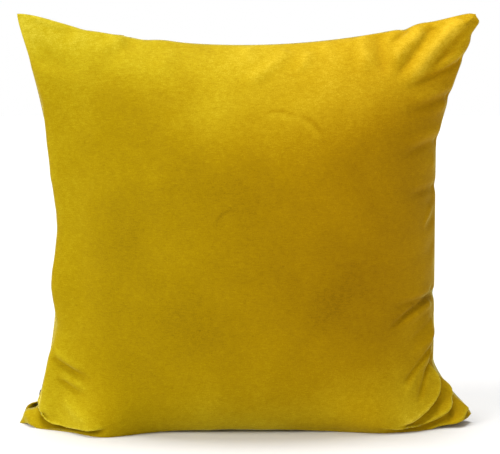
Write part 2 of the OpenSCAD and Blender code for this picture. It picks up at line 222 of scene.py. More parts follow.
def inflate():
    """How cloth cut flat moves off the CAD shape, over a coarse grid: back and front."""
    lines = np.linspace(-1, 1, SIM_N + 1)
    u, v, p = grid(lines)
    inside = (np.abs(u) < 1) & (np.abs(v) < 1)
    p[..., 1] = np.where(inside, p[..., 1], 0)
    ids = np.arange(u.size).reshape(u.shape)
    front_ids = ids.copy()
    front_ids[inside] = u.size + np.arange(inside.sum())
    front = p * [1, -1, 1]
    points = np.concatenate([p.reshape(-1, 3), front[inside]])
    flat = np.stack([u * FLAT / 2, np.where(inside, 0.5, 0), (v + 1) * FLAT / 2], -1)
    flat_points = np.concatenate([flat.reshape(-1, 3), flat[inside] * [1, -1, 1]])
    obj = new_object("cloth_trial", points, closed_faces(ids, front_ids))
    obj.shape_key_add(name="filled")
    cut = obj.shape_key_add(name="cut")
    cut.data.foreach_set("co", (flat_points * MM).ravel())
    pins = obj.vertex_groups.new(name="seam")
    pins.add(ids[~inside].tolist(), 1.0, "REPLACE")
    cloth = obj.modifiers.new("cloth", "CLOTH")
    cloth.settings.quality = 6
    cloth.settings.mass = 0.3
    cloth.settings.tension_stiffness = 40
    cloth.settings.compression_stiffness = 40
    cloth.settings.shear_stiffness = 10
    cloth.settings.bending_stiffness = 1.0
    cloth.settings.use_pressure = True
    cloth.settings.uniform_pressure_force = PRESSURE
    cloth.settings.vertex_group_mass = "seam"
    cloth.settings.rest_shape_key = cut
    cloth.settings.effector_weights.gravity = 0
    cloth.collision_settings.use_collision = False
    cloth.point_cache.frame_end = SIM_FRAMES
    scene = bpy.context.scene
    for f in range(1, SIM_FRAMES + 1):
        scene.frame_set(f)
    graph = bpy.context.evaluated_depsgraph_get()
    mesh = obj.evaluated_get(graph).to_mesh()
    now = np.empty(len(points) * 3)
    mesh.vertices.foreach_get("co", now)
    moved = now.reshape(-1, 3) / MM - points
    scene.frame_set(1)
    bpy.data.objects.remove(obj)
    reach = np.linalg.norm(moved, axis=1, keepdims=True)
    moved *= CAP * np.tanh(reach / CAP) / np.maximum(reach, 1e-9)
    return lines, moved[ids], moved[front_ids] * [1, -1, 1]


def cubic(coarse, fine):
    """Weights that carry values at evenly spaced lines over to other lines."""
    n = len(coarse) - 1
    x = np.clip((fine + 1) / 2 * n, 0, n)
    k = np.minimum(x.astype(int), n - 1)
    t = x - k
    w = [
        -t / 2 + t**2 - t**3 / 2,
        1 - 2.5 * t**2 + 1.5 * t**3,
        t / 2 + 2 * t**2 - 1.5 * t**3,
        -(t**2) / 2 + t**3 / 2,
    ]
    table = np.zeros((len(fine), n + 1))
    for step, weight in zip((-1, 0, 1, 2), w):
        np.add.at(table, (np.arange(len(fine)), np.clip(k + step, 0, n)), weight)
    return table


def finer(values, coarse, fine):
    table = cubic(coarse, fine)
    return np.einsum("ia,jb,abk->ijk", table, table, values)


# ---- meshes ----


def new_object(name, points, faces, materials=()):
    mesh = bpy.data.meshes.new(name)
    mesh.from_pydata((np.asarray(points) * MM).tolist(), [], faces)
    mesh.update()
    mesh.shade_smooth()
    obj = bpy.data.objects.new(name, mesh)
    bpy.context.scene.collection.objects.link(obj)
    for m in materials:
        mesh.materials.append(m)
    return obj


def grid_faces(n, start, flip):
    i, j = np.meshgrid(np.arange(n), np.arange(n), indexing="ij")
    a = (start + i * (n + 1) + j).ravel()
    quads = np.stack([a, a + n + 1, a + n + 2, a + 1], -1)
    return (quads[:, ::-1] if flip else quads).tolist()


def rim_cells(n):
    """Row and column of each rim point, once round from the bottom left."""
    k = np.arange(n)
    i = np.concatenate([k, np.full(n, n), n - k, np.zeros(n, int)])
    j = np.concatenate([np.zeros(n, int), k, np.full(n, n), n - k])
    return i, j


def normals(p):
    """Outward unit normals of a back panel's grid of points."""
    return unit(np.cross(np.gradient(p, axis=1), np.gradient(p, axis=0)))


def band(one, two, side):
    """Quads between two rings with the same number of points."""
    a, b = np.roll(one, -1), np.roll(two, -1)
    return np.stack([one, a, b, two] if side > 0 else [a, one, two, b], -1).tolist()


# The seam allowance, folded in behind the seam: how far its bend and its free edge reach
UNDER_IN = 2.1
CORNER_IN = 1.5
ALLOWANCE = 10.0
# Along the zip it is narrower, and turned back against the inside of the cloth
ZIP_CORNER_IN = 1.05
ZIP_CORNER_Y = 1.1
ZIP_OUT_IN = 5.7
ZIP_OUT_UNDER = 1.2
ZIP_IN_IN = 4.7
ZIP_IN_UNDER = 0.8


def panel_sheet(name, p, lines, side, materials):
    """A cover panel with its thickness and its folded seam allowance.

    p is the back-panel grid of its face; side is 1 for the back, -1 for the front.
    """
    n = len(lines) - 1
    i, j = rim_cells(n)
    u, v = lines[i], lines[j]
    inward = (plan(u * 0.99, v * 0.99) - plan(u, v)) / (0.01 * HALF_SPAN)
    w = (np.where(i == 0, 1.0, 0.0) * zip_open(v))[:, None]
    seam = p[i, j]
    folded = p[np.clip(i, 2, n - 2), np.clip(j, 2, n - 2), 1]

    def loop(inset, dy, zip_inset, zip_y):
        d = mix(inset, zip_inset, w)
        y = mix(seam[:, 1:2] + dy, np.reshape(zip_y, (-1, 1)), w)
        return np.concatenate([seam[:, :1] + d * inward[:, :1], y, seam[:, 2:] + d * inward[:, 1:]], 1)

    under = loop(UNDER_IN, 0, UNDER_IN, seam[:, 1])
    end_out = loop(ALLOWANCE, 0, ZIP_OUT_IN, folded - ZIP_OUT_UNDER)
    end_in = loop(ALLOWANCE, CLOTH_T, ZIP_IN_IN, folded - ZIP_IN_UNDER)
    corner = loop(CORNER_IN, CLOTH_T, ZIP_CORNER_IN, seam[:, 1] + ZIP_CORNER_Y)
    inner = p - CLOTH_T * normals(p)
    inner[i, j] = corner
    points = np.concatenate([p.reshape(-1, 3), inner.reshape(-1, 3), under, end_out, end_in])
    points[:, 2] = np.maximum(points[:, 2], 0)
    points = points * [1, side, 1]
    size = (n + 1) ** 2
    outer_rim = i * (n + 1) + j
    rings = [outer_rim] + [2 * size + k * 4 * n + np.arange(4 * n) for k in range(3)]
    rings.append(outer_rim + size)
    faces = grid_faces(n, 0, side > 0) + grid_faces(n, size, side < 0)
    for one, two in zip(rings, rings[1:]):
        faces += band(one, two, side)
    return new_object(name, points, faces, materials)


# ---- the way it stands: pushes and folds, placed by distance from two seams ----

# Each push: distance from the left seam and from the bottom one, the two spreads, and
# the shift to the right, outwards and up
PUSHES_FRONT = [
    (9, 148, 13, 38, (-11, 2, 0)),
    (9, 62, 11, 44, (-8, 2, 0)),
    (9, 250, 13, 70, (-8, 2, 0)),
    (12, 100, 16, 16, (4, 0, 0)),
    (64, 28, 34, 30, (-3, 24, -9)),
    (330, 28, 36, 26, (2, 15, -5)),
    (198, 22, 70, 20, (0, 0, 3)),
    (26, 8, 28, 9, (0, 9, -6)),
    (382, 8, 16, 8, (1, 6, -5)),
    (352, 11, 18, 9, (0, 7, -4)),
    (386, 386, 10, 10, (0, 4, 0)),
    (388, 82, 10, 16, (5, 2, 0)),
    (387, 8, 8, 8, (0, 4, 0)),
]
PUSHES_BACK = [
    (9, 148, 13, 38, (-8, 2, 0)),
    (9, 62, 11, 44, (-8, 2, 0)),
    (9, 250, 13, 70, (-6, 2, 0)),
    (62, 26, 30, 26, (-2, 12, -5)),
    (330, 28, 36, 26, (2, 12, -5)),
]
# Pushes that move the seam too, so both panels take them
PUSHES_SEAM = [
    (0, 12, 8, 7, (-3, 0, 3)),
    (0, 0, 9, 7, (-1, 0, -5)),
    (396, 4, 16, 10, (4, 0, -3)),
    (396, 0, 7, 7, (-3, 0, 0)),
    (396, 374, 22, 30, (2, 0, 0)),
    (20, 396, 26, 14, (0, 0, 2)),
    (396, 396, 8, 8, (-3, 0, -2)),
    (396, 384, 6, 5, (2, 0, 0)),
    (396, 371, 5, 5, (-1.6, 0, 0)),
    (396, 351, 5, 5, (-1.4, 0, 0)),
    (331, 396, 5, 5, (0, 0, -1.6)),
    (344, 396, 8, 6, (0, 0, 1.2)),
    (110, 396, 9, 6, (0, 0, -1.0)),
    (128, 396, 12, 6, (0, 0, 0.9)),
    (60, 396, 8, 6, (0, 0, -0.9)),
    (396, 312, 5, 5, (-1.2, 0, 0)),
    (396, 271, 5, 5, (-1.0, 0, 0)),
    (396, 226, 4, 5, (-1.2, 0, 0)),
    (396, 121, 5, 5, (-1.6, 0, 0)),
]

# Where the front panel's edge is drawn back from the zip, at the ear
PUSHES_EDGE = [(0, 17, 7, 6, (1.7, 0, -2.0))]
# How near the seam a push dies out, where it leaves the seam alone
SEAM_HOLD = 5.0


def seam_distance(b, a):
    return np.minimum(np.minimum(a, b), np.minimum(2 * HALF_SPAN - a, 2 * HALF_SPAN - b))


def push_all(p, b, a, pushes, seam_fixed):
    hold = 1 - np.exp(-((seam_distance(b, a) / SEAM_HOLD) ** 2)) if seam_fixed else 1
    for at_b, at_a, wide_b, wide_a, shift in pushes:
        w = np.exp(-(((b - at_b) / wide_b) ** 2) - ((a - at_a) / wide_a) ** 2)
        p = p + (w * hold)[..., None] * np.array(shift)
    return p


# Each fold: its crease, how deep the crease is, how high its bulging side stands, how
# far that side reaches, how far it hangs over the crease, and the fades at its ends.
# The bulging side is on the left of the crease's direction.
FOLDS_FRONT = [
    ([(-4, 29), (8, 25), (13, 20), (20, 18), (28, 21), (40, 28), (52, 33), (74, 37)],
        5.5, 3.5, 15, 4.0, 0, 22),
    ([(318, 25), (342, 20), (361, 16), (377, 15), (388, 16), (397, 25), (399, 32)],
        3.5, 2.5, 8, 3.0, 26, 0),
    ([(338, 25), (360, 24), (374, 26), (383, 29), (389, 34), (393, 42), (392, 54), (388, 72)],
        4.0, 3.0, 8, 3.0, 14, 26),
    ([(358, 9), (368, 9), (378, 8), (387, 7), (397, 6.5)], 2.2, 1.8, 4, 1.6, 8, 2),
]
FOLDS_BACK = [
    ([(-4, 30), (10, 24), (20, 18), (34, 20), (50, 27), (70, 32)], 3.0, 3.0, 14, 5, 0, 30),
    ([(336, 24), (356, 17), (376, 17), (390, 26), (396, 36)], 2.5, 2.5, 12, 4, 22, 4),
]
# Each swell: its line, height, width, and the fades at its ends
SWELLS_FRONT = [
    ([(9, 80), (20, 73.5), (32, 70.5), (52, 69)], -3.0, 3.4, 6, 20),
    ([(10, 86), (24, 78.5), (42, 76)], 2.0, 4.0, 8, 16),
    ([(16, 61), (30, 56.5), (48, 56)], -2.2, 3.2, 8, 16),
    ([(16, 66), (32, 62), (48, 62)], 1.6, 3.2, 8, 14),
    ([(8, 26), (14, 25), (22, 22)], -1.2, 1.8, 4, 8),
    ([(20, 46), (40, 41), (60, 43)], 1.6, 5.0, 10, 16),
    ([(397, 122), (384, 122), (371, 121), (356, 117), (338, 109)], -2.6, 3.0, 2, 26),
    ([(392, 123), (377, 127), (361, 130), (346, 131)], -1.6, 2.6, 6, 16),
    ([(392, 117), (371, 114), (352, 106)], 1.8, 4.5, 4, 24),
    ([(392, 129), (375, 134), (352, 139)], 1.4, 4.5, 4, 24),
    ([(396, 104), (380, 96), (360, 90)], -1.4, 4.0, 4, 20),
    ([(394, 66), (384, 52), (376, 42), (364, 34)], -2.2, 2.2, 6, 12),
    ([(392, 74), (380, 62), (370, 51), (356, 42)], 1.4, 3.4, 6, 14),
    ([(396, 82), (383, 70), (372, 60), (358, 52)], -1.8, 2.4, 6, 14),
    ([(396, 93), (382, 82), (368, 74)], 1.2, 3.4, 6, 12),
    ([(394, 24), (384, 13), (374, 10)], -1.3, 1.6, 4, 8),
    ([(348, 391), (341, 385), (333, 378), (325, 360)], 2.4, 7.0, 6, 14),
    ([(382, 391), (370, 379), (360, 366), (344, 336)], 3.2, 8.5, 6, 20),
    ([(356, 392), (349, 376), (340, 360), (330, 344)], -2.0, 5.5, 3, 22),
    ([(394, 389), (385, 377), (377, 366), (369, 353), (359, 338)], -2.2, 5.5, 4, 22),
    ([(396, 347), (377, 341), (364, 341), (342, 336)], -3.0, 4.5, 3, 22),
    ([(394, 358), (378, 352), (362, 350)], 2.2, 4.5, 6, 18),
    ([(396, 313), (374, 313), (344, 311)], -2.0, 5.0, 3, 26),
    ([(396, 324), (374, 324), (348, 322)], 1.9, 5.0, 4, 26),
    ([(396, 272), (380, 272), (352, 271)], -1.9, 4.5, 3, 24),
    ([(396, 283), (378, 283), (350, 281)], 1.6, 5.0, 4, 24),
    ([(396, 226), (381, 229), (360, 232)], -2.0, 4.0, 3, 20),
    ([(392, 213), (386, 201), (380, 190)], 1.2, 3.0, 4, 14),
    ([(333, 396), (326, 388), (318, 381)], -1.8, 3.0, 2, 10),
    ([(309, 396), (313, 374), (323, 350)], -2.2, 5.0, 3, 20),
    ([(294, 396), (299, 374), (306, 356)], 1.8, 6.0, 3, 20),
    ([(196, 356), (226, 381), (233, 392)], 1.6, 6.0, 16, 6),
    ([(240, 364), (252, 388)], 1.5, 5.0, 14, 6),
    ([(14, 394), (26, 391.5), (42, 390)], 1.2, 2.5, 4, 10),
    ([(96, 396), (81, 388), (66, 374)], 1.1, 6.0, 10, 14),
    ([(108, 396), (92, 385), (76, 366)], -1.0, 6.0, 10, 18),
    ([(60, 394), (50, 384), (40, 368)], 0.9, 5.0, 8, 14),
    ([(140, 394), (128, 378), (116, 356)], 0.9, 7.0, 8, 20),
    ([(8, 372), (20, 366), (34, 352)], -0.9, 5.0, 6, 14),
]
SWELLS_BACK = [
    ([(397, 128), (378, 130), (352, 138)], -1.6, 3.5, 2, 26),
    ([(346, 391), (338, 380), (326, 362)], 2.0, 4.5, 6, 16),
    ([(391, 391), (374, 372), (358, 345)], -2.6, 5.0, 4, 22),
    ([(10, 392), (24, 374), (40, 352)], -2.2, 5.0, 4, 22),
    ([(4, 78), (24, 72), (48, 70)], -1.8, 4.0, 6, 18),
    ([(96, 396), (81, 388), (66, 374)], 1.4, 5.0, 4, 14),
]
# Strokes of a hand across the pile, and broad bands of painted light: line, change of tone, and width
PILE_MARKS_AND_PAINTED_LIGHT = [
    ([(214, 331), (230, 334), (246, 327)], -0.36, 1.5),
    ([(214, 327), (230, 330), (246, 323)], 0.16, 3.5),
    ([(244, 330), (262, 320), (275, 303)], -0.36, 1.5),
    ([(242, 326), (260, 316), (272, 300)], 0.16, 3.5),
    ([(166, 222), (174, 240), (194, 245)], -0.25, 1.8),
    ([(120, 300), (150, 330), (190, 352)], 0.16, 14.0),
    ([(250, 120), (290, 150), (320, 190)], -0.14, 18.0),
    # Broad bands of painted light: a painted highlight along the top and the left; the rest make the
    # pile lighter on the right, along the bottom and over the upper right
    ([(0, 391), (120, 388), (270, 388), (396, 391)], 0.66, 46.0),
    ([(0, 20), (4, 200), (0, 396)], 0.24, 34.0),
    ([(372, 120), (372, 210)], 0.22, 28.0),
    ([(60, 24), (340, 24)], 0.4, 56.0),
    ([(120, 8), (250, 8)], 0.3, 26.0),
    ([(180, 318), (350, 336)], 0.36, 34.0),
]
# Where the pile is painted darker and warmer, as shade on the side away from the key light: line, how
# much, and width
PAINTED_WARM_SHADE = [([(370, 396), (370, 200)], 1.0, 210.0)]


def rounded(points):
    """A line through the points' places with its corners cut off three times."""
    p = np.array(points, float)
    for _ in range(3):
        q = np.stack([0.75 * p[:-1] + 0.25 * p[1:], 0.25 * p[:-1] + 0.75 * p[1:]], 1)
        p = np.concatenate([p[:1], q.reshape(-1, 2), p[-1:]])
    return p


def beside(line, b, a):
    """Signed distance from a line, the way along it, its length, and its normal."""
    p = rounded(line)
    best = np.full(b.shape, 1e9)
    d, along = np.zeros(b.shape), np.zeros(b.shape)
    normal = np.zeros(b.shape + (2,))
    run = 0
    for one, two in zip(p, p[1:]):
        step = two - one
        size = np.hypot(*step)
        t = np.clip(((b - one[0]) * step[0] + (a - one[1]) * step[1]) / size**2, 0, 1)
        off = np.stack([b - one[0] - t * step[0], a - one[1] - t * step[1]], -1)
        far = np.hypot(off[..., 0], off[..., 1])
        near = far < best
        left = np.array([-step[1], step[0]]) / size
        best = np.where(near, far, best)
        d = np.where(near, np.sign(off @ left + 1e-9) * far, d)
        along = np.where(near, run + t * size, along)
        normal = np.where(near[..., None], left, normal)
        run += size
    return d, along, run, normal


def faded(along, length, start, end):
    """1 along a line, and less within a fade of each end."""
    k = np.ones(along.shape)
    if start > 0:
        k = k * ramp(along / start)
    if end > 0:
        k = k * ramp((length - along) / end)
    return k


# A fold's hollow is wide on its low side and tight under its bulge, which is full a
# little way past the crease
HOLLOW_LOW = 4.5
HOLLOW_TIGHT = 1.5
LIP = 3.0
# How much painted highlight lies along a fold's lip, as height; where; and how wide
RIM_LIGHT = 4.0
RIM_AT = 2.8
RIM_W = 1.3


def fold(p, b, a, line, depth, rise, reach, overhang, start, end):
    """The face with a fold in it, and the fold's height with a painted highlight along its lip."""
    d, along, length, normal = beside(line, b, a)
    k = faded(along, length, start, end)
    past = np.maximum(0, d - LIP)
    full = ramp(d / LIP)
    hollow = -depth * np.exp(-((d / np.where(d < 0, HOLLOW_LOW, HOLLOW_TIGHT)) ** 2))
    lift = hollow + rise * full * np.exp(-past / reach)
    slide = overhang * full * np.exp(-((past / reach) ** 2))
    across = unit(np.gradient(p, b[:, 0], axis=0))
    up = unit(np.gradient(p, a[0], axis=1))
    towards = -(normal[..., :1] * across + normal[..., 1:] * up)
    p = p + (k * lift)[..., None] * normals(p) + (k * slide)[..., None] * towards
    # A painted highlight along the lip: it goes into the height that sets the pile's tone, not into
    # the shape
    lip_highlight = RIM_LIGHT * np.exp(-(((d - RIM_AT) / RIM_W) ** 2))
    return p, k * (lift + lip_highlight)


def swell(p, b, a, line, height, width, start, end):
    """The face with a soft ridge or valley in it, and the ridge's height."""
    d, along, length, _ = beside(line, b, a)
    lift = faded(along, length, start, end) * height * np.exp(-((d / width) ** 2))
    return p + lift[..., None] * normals(p), lift


PUCKER_SIZE = 1.3
PUCKER_PITCH = 27.0
PUCKER_MARGIN = 24.0


def puckers(b, a, seed):
    """Small gathers that run in from the seams: strong at the top and right, faint elsewhere."""
    rng = np.random.default_rng(seed)
    whole = 2 * HALF_SPAN
    total = np.zeros(b.shape)
    for along, off, size in ((b, whole - a, 1.2), (a, whole - b, 1.6), (b, a, 0.5), (a, b, 0.5)):
        at = PUCKER_MARGIN
        while at < whole - PUCKER_MARGIN:
            height = rng.uniform(0.5, 1.2) * rng.choice([-1, 1]) * PUCKER_SIZE * size
            slant = rng.uniform(-0.5, 0.5)
            wide = rng.uniform(3.5, 8.0)
            decay = rng.uniform(9.0, 24.0)
            line = np.exp(-(((along - at - slant * off) / (wide + 0.15 * off)) ** 2))
            total += height * line * ramp(off / 6) * np.exp(-off / decay)
            at += PUCKER_PITCH * rng.uniform(0.6, 1.4)
    return total


def dress(p, b, a, folds, swells, seed):
    """The face with all its folds, swells and puckers, and their height, with painted highlights along
    the folds' lips.
    """
    relief = np.zeros(b.shape)
    for line, height, width, start, end in swells:
        p, lift = swell(p, b, a, line, height, width, start, end)
        relief += lift
    lift = puckers(b, a, seed)
    p = p + lift[..., None] * normals(p)
    relief += lift
    for one in folds:
        p, lift = fold(p, b, a, *one)
        relief += lift
    return p, relief


# ---- materials ----


# The sockets that a Mix node uses for colours
MIX_SHARE = 0
MIX_BEFORE = 6
MIX_BY = 7
MIX_OUT = 2


class Nodes:
    """Short ways to add texture nodes to a material."""

    def __init__(self, mat):
        self.tree = mat.node_tree
        self.shader = self.tree.nodes["Principled BSDF"]
        self.coords = self.tree.nodes.new("ShaderNodeTexCoord")

    def link(self, out, to):
        self.tree.links.new(out, to)

    def attribute(self, name):
        node = self.tree.nodes.new("ShaderNodeAttribute")
        node.attribute_name = name
        return node.outputs["Fac"]

    def noise(self, scale, detail=2.0, stretch=(1, 1, 1), distortion=0.0):
        place = self.tree.nodes.new("ShaderNodeMapping")
        place.inputs["Scale"].default_value = stretch
        self.link(self.coords.outputs["Object"], place.inputs["Vector"])
        node = self.tree.nodes.new("ShaderNodeTexNoise")
        node.inputs["Scale"].default_value = scale
        node.inputs["Detail"].default_value = detail
        node.inputs["Distortion"].default_value = distortion
        self.link(place.outputs["Vector"], node.inputs["Vector"])
        return node.outputs["Fac"]

    def wave(self, scale, direction, distortion=0.0):
        node = self.tree.nodes.new("ShaderNodeTexWave")
        node.bands_direction = direction
        node.inputs["Scale"].default_value = scale
        node.inputs["Distortion"].default_value = distortion
        self.link(self.coords.outputs["Object"], node.inputs["Vector"])
        return node.outputs["Fac"]

    def math(self, kind, one, two):
        node = self.tree.nodes.new("ShaderNodeMath")
        node.operation = kind
        for socket, value in zip(node.inputs, (one, two)):
            if isinstance(value, (int, float)):
                socket.default_value = value
            else:
                self.link(value, socket)
        return node.outputs[0]

    def colours(self, fac, stops):
        """Colours the shader by a ramp: each stop is a place and a colour."""
        node = self.tree.nodes.new("ShaderNodeValToRGB")
        made = node.color_ramp.elements
        while len(made) < len(stops):
            made.new(0.5)
        for stop, (place, colour) in zip(made, stops):
            stop.position = place
            stop.color = (*colour, 1)
        self.link(fac, node.inputs["Fac"])
        self.link(node.outputs["Color"], self.shader.inputs["Base Color"])

    def tint(self, fac, colour):
        """Multiplies the base colour by another one, as far as fac says."""
        base = self.shader.inputs["Base Color"]
        node = self.tree.nodes.new("ShaderNodeMix")
        node.data_type = "RGBA"
        node.blend_type = "MULTIPLY"
        node.inputs[MIX_BY].default_value = (*colour, 1)
        self.link(fac, node.inputs[MIX_SHARE])
        self.link(base.links[0].from_socket, node.inputs[MIX_BEFORE])
        self.link(node.outputs[MIX_OUT], base)

    def roughness(self, fac, low, high):
        node = self.tree.nodes.new("ShaderNodeMapRange")
        node.inputs["To Min"].default_value = low
        node.inputs["To Max"].default_value = high
        self.link(fac, node.inputs["Value"])
        self.link(node.outputs["Result"], self.shader.inputs["Roughness"])

    def bump(self, height, strength, distance):
        node = self.tree.nodes.new("ShaderNodeBump")
        node.inputs["Strength"].default_value = strength
        node.inputs["Distance"].default_value = distance
        self.link(height, node.inputs["Height"])
        self.link(node.outputs["Normal"], self.shader.inputs["Normal"])


def material(name, colour, roughness, **inputs):
    """A Principled material; each input is set on the shader's own socket."""
    mat = bpy.data.materials.new(name)
    mat.use_nodes = True
    shader = mat.node_tree.nodes["Principled BSDF"]
    shader.inputs["Base Color"].default_value = (*colour, 1)
    shader.inputs["Roughness"].default_value = roughness
    for key, value in inputs.items():
        shader.inputs[key.replace("_", " ")].default_value = value
    return mat


# The pile's colours from turned away to facing the light, and the tint of its painted warm shade
VELVET_TONES = [
    (0.2, (0.1, 0.061, 0.0)),
    (0.42, (0.272, 0.175, 0.0)),
    (0.58, (0.35, 0.237, 0.0003)),
    (0.75, (0.46, 0.355, 0.006)),
    (0.98, (0.72, 0.61, 0.05)),
]
WARM_SHADE_TINT = (1.06, 0.83, 0.6)


def velvet_material():
    mat = material(
        "velvet",
        (0.4, 0.26, 0.01),
        0.85,
        Sheen_Weight=0.9,
        Sheen_Roughness=0.3,
        Sheen_Tint=(1.0, 0.9, 0.25, 1),
        Specular_IOR_Level=0.05,
    )
    n = Nodes(mat)
    patches = n.math("MULTIPLY", n.noise(11, 3, distortion=0.6), 0.3)
    mottle = n.math("MULTIPLY", n.noise(200, 3), 0.14)
    streaks = n.math("MULTIPLY", n.noise(240, 2, (1, 1, 4)), 0.2)
    pile = n.math("MULTIPLY", n.noise(1300, 2), 0.36)
    tone = n.math("ADD", n.math("ADD", patches, mottle), n.math("ADD", streaks, pile))
    # Adds the pile's marks together with its painted shade and painted highlights, kept on the mesh
    tone = n.math("ADD", tone, n.attribute("marks_and_painted_light"))
    n.colours(tone, VELVET_TONES)
    # Painted shade: the pile is darker and warmer towards the right, away from the key light
    n.tint(n.attribute("warm_shade"), WARM_SHADE_TINT)
    n.roughness(n.noise(60, 3), 0.75, 0.95)
    n.bump(n.math("ADD", n.noise(1500, 2), n.noise(240, 2, (1, 1, 4))), 0.35, 0.0005)
    return mat


def thread_material(name, dark, light):
    mat = material(name, light, 0.7, Sheen_Weight=0.2)
    n = Nodes(mat)
    twist = n.wave(700, "DIAGONAL", 1.5)
    n.colours(twist, [(0.1, dark), (0.9, light)])
    n.roughness(n.noise(400), 0.55, 0.85)
    n.bump(twist, 0.5, 0.0002)
    return mat


def tape_material():
    mat = material("zip_tape", (0.16, 0.11, 0.01), 0.8, Sheen_Weight=0.15)
    n = Nodes(mat)
    weave = n.math("MULTIPLY", n.wave(420, "Z", 0.4), n.wave(500, "DIAGONAL", 0.4))
    tone = n.math("ADD", weave, n.noise(90, 3))
    n.colours(tone, [(0.2, (0.1, 0.07, 0.005)), (1.0, (0.26, 0.18, 0.02))])
    n.roughness(n.noise(220), 0.7, 0.92)
    n.bump(weave, 0.5, 0.0003)
    return mat


def plastic_material():
    mat = material("zip_teeth", (0.18, 0.13, 0.01), 0.4)
    n = Nodes(mat)
    n.colours(n.noise(120, 3), [(0.3, (0.13, 0.092, 0.006)), (0.7, (0.21, 0.15, 0.012))])
    n.roughness(n.noise(500, 2), 0.3, 0.5)
    n.bump(n.noise(900, 2), 0.15, 0.0002)
    return mat


def metal_material(name, dark, light, rough):
    mat = material(name, light, rough, Metallic=1.0)
    n = Nodes(mat)
    n.colours(n.noise(160, 4), [(0.3, dark), (0.7, light)])
    n.roughness(n.noise(350, 3, (1, 1, 5)), rough - 0.08, rough + 0.12)
    n.bump(n.noise(1200, 2), 0.12, 0.0001)
    return mat


def cotton_material():
    mat = material("insert_cloth", (0.8, 0.79, 0.75), 0.85, Sheen_Weight=0.1)
    n = Nodes(mat)
    weave = n.math("MULTIPLY", n.wave(480, "X", 0.5), n.wave(480, "Z", 0.5))
    tone = n.math("ADD", n.math("MULTIPLY", weave, 0.4), n.math("MULTIPLY", n.noise(40, 4), 0.7))
    n.colours(tone, [(0.1, (0.68, 0.66, 0.6)), (0.8, (0.86, 0.85, 0.81))])
    n.roughness(n.noise(120), 0.78, 0.93)
    n.bump(weave, 0.4, 0.0003)
    return mat


def fibre_material():
    mat = material("fibre_filling", (0.88, 0.88, 0.88), 0.9, Sheen_Weight=0.3)
    n = Nodes(mat)
    tufts = n.noise(220, 6, distortion=2.5)
    n.colours(tufts, [(0.3, (0.74, 0.74, 0.73)), (0.7, (0.93, 0.93, 0.93))])
    n.roughness(tufts, 0.85, 0.98)
    n.bump(tufts, 0.8, 0.002)
    return mat


def satin_material():
    mat = material("label_satin", (0.85, 0.85, 0.83), 0.35, Sheen_Weight=0.1)
    n = Nodes(mat)
    ribs = n.wave(900, "Z", 0.2)
    tone = n.math("ADD", ribs, n.noise(60, 2))
    n.colours(tone, [(0.3, (0.76, 0.76, 0.73)), (1.0, (0.88, 0.88, 0.86))])
    n.roughness(n.noise(260), 0.28, 0.45)
    n.bump(ribs, 0.2, 0.0002)
    return mat


VELVET = velvet_material()
COVER_THREAD = thread_material("thread", (0.22, 0.14, 0.004), (0.42, 0.29, 0.02))
INSERT_THREAD = thread_material("insert_thread", (0.62, 0.6, 0.54), (0.85, 0.84, 0.8))
TAPE = tape_material()
TEETH = plastic_material()
GUNMETAL = metal_material("slider_metal", (0.12, 0.115, 0.1), (0.22, 0.21, 0.19), 0.35)
SPRING = metal_material("spring_steel", (0.5, 0.5, 0.5), (0.66, 0.66, 0.65), 0.25)
COTTON = cotton_material()
FIBRE = fibre_material()
SATIN = satin_material()

# The CAD nodes that stay, and what they are made of
NODE_MATERIALS = {
    "cover_seam_thread": COVER_THREAD,
    "cover_overlock_thread": COVER_THREAD,
    "zip_tape_front": TAPE,
    "zip_tape_back": TAPE,
    "zip_teeth_front": TEETH,
    "zip_teeth_back": TEETH,
    "zip_bottom_stop": TEETH,
    "zip_top_stops": GUNMETAL,
    "zip_slider_body": GUNMETAL,
    "zip_slider_crown": GUNMETAL,
    "zip_lock_spring": SPRING,
    "zip_pull_tab": GUNMETAL,
    "insert_seam_thread": INSERT_THREAD,
}


def finish_nodes():
    for name, mat in NODE_MATERIALS.items():
        obj = bpy.data.objects[name]
        for kept in obj.material_slots:
            kept.material = mat


finish_nodes()


def place_piece(obj):
    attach(obj, BODY)


# ---- cover ----

FINE = 240


def fine_steps():
    """Lines that stand closer together towards the seams."""
    x = np.linspace(-1, 1, FINE + 1)
    lines = 0.6 * np.sin(x * math.pi / 2) + 0.4 * x
    lines[[0, -1]] = -1, 1
    return lines


# The pile's tone: the relief that counts, painted as shade in its hollows and as highlight on its
# ridges, and what a unit of it or of a stroke or band changes
RELIEF_LOW = -4.5
RELIEF_HIGH = 6.0
RELIEF_PAINTED_LIGHT = 0.036
MARK_AND_LIGHT_TONE = 0.35
# Strokes this narrow fade out along this share of their length
STROKE_W = 30.0
STROKE_FADE = 0.3


def pile_tone_and_painted_light(relief, b, a, strokes):
    """How much lighter or darker the pile looks: painted shade in hollows, painted highlight on ridges
    and fold lips, painted light in broad bands, and strokes of a hand.
    """
    tone = np.clip(relief, RELIEF_LOW, RELIEF_HIGH) * RELIEF_PAINTED_LIGHT
    for line, change, width in strokes:
        d, along, length, _ = beside(line, b, a)
        ends = length * STROKE_FADE if width < STROKE_W else 0
        fade = faded(along, length, ends, ends)
        tone = tone + change * MARK_AND_LIGHT_TONE * fade * np.exp(-((d / width) ** 2))
    return tone


# How much painted shade darkens and warms the pile at each point
def painted_warm_shade(b, a):
    warm_shade = np.zeros(b.shape)
    for line, amount, width in PAINTED_WARM_SHADE:
        warm_shade += amount * np.exp(-((beside(line, b, a)[0] / width) ** 2))
    return warm_shade


def store(obj, name, grid_values):
    """Keeps one value for each point of both faces of a panel."""
    values = np.zeros(len(obj.data.vertices))
    values[: grid_values.size] = grid_values.ravel()
    values[grid_values.size : 2 * grid_values.size] = grid_values.ravel()
    kept = obj.data.attributes.new(name, "FLOAT", "POINT")
    kept.data.foreach_set("value", values)


